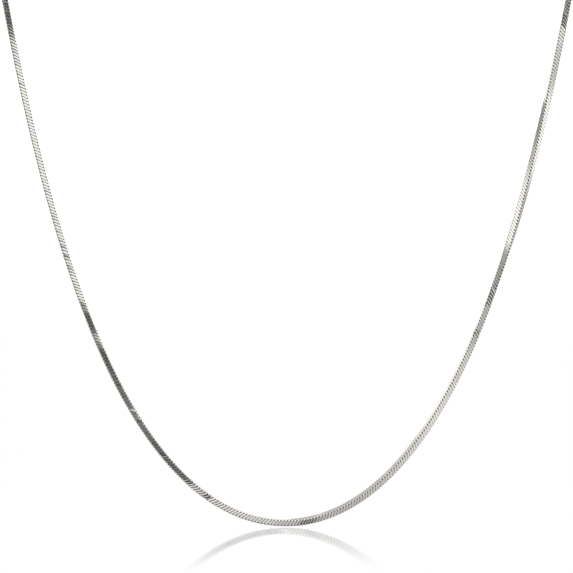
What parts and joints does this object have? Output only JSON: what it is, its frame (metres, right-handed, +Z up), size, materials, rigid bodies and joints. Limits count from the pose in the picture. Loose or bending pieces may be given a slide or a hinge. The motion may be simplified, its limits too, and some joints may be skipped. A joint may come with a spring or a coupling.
{
  "type": "snake chain necklace",
  "caption": "Fine square snake chain necklace, a closed loop that hangs in a deep U from a plain barrel clasp.",
  "frame": {"origin": "underside of the clasp, at the top of the loop, where the necklace lies on the nape or hangs on a peg", "axes": "+Z up, from the lowest point of the chain to the clasp; +X to the right along the clasp; +Y away from the viewer, square to the plane of the loop"},
  "size_m": [0.118, 0.0036, 0.1732],
  "materials": {
    "silver": "polished"
  },
  "bodies": {
    "root": {"chain": "silver", "clasp": "silver"}
  },
  "joints": []
}
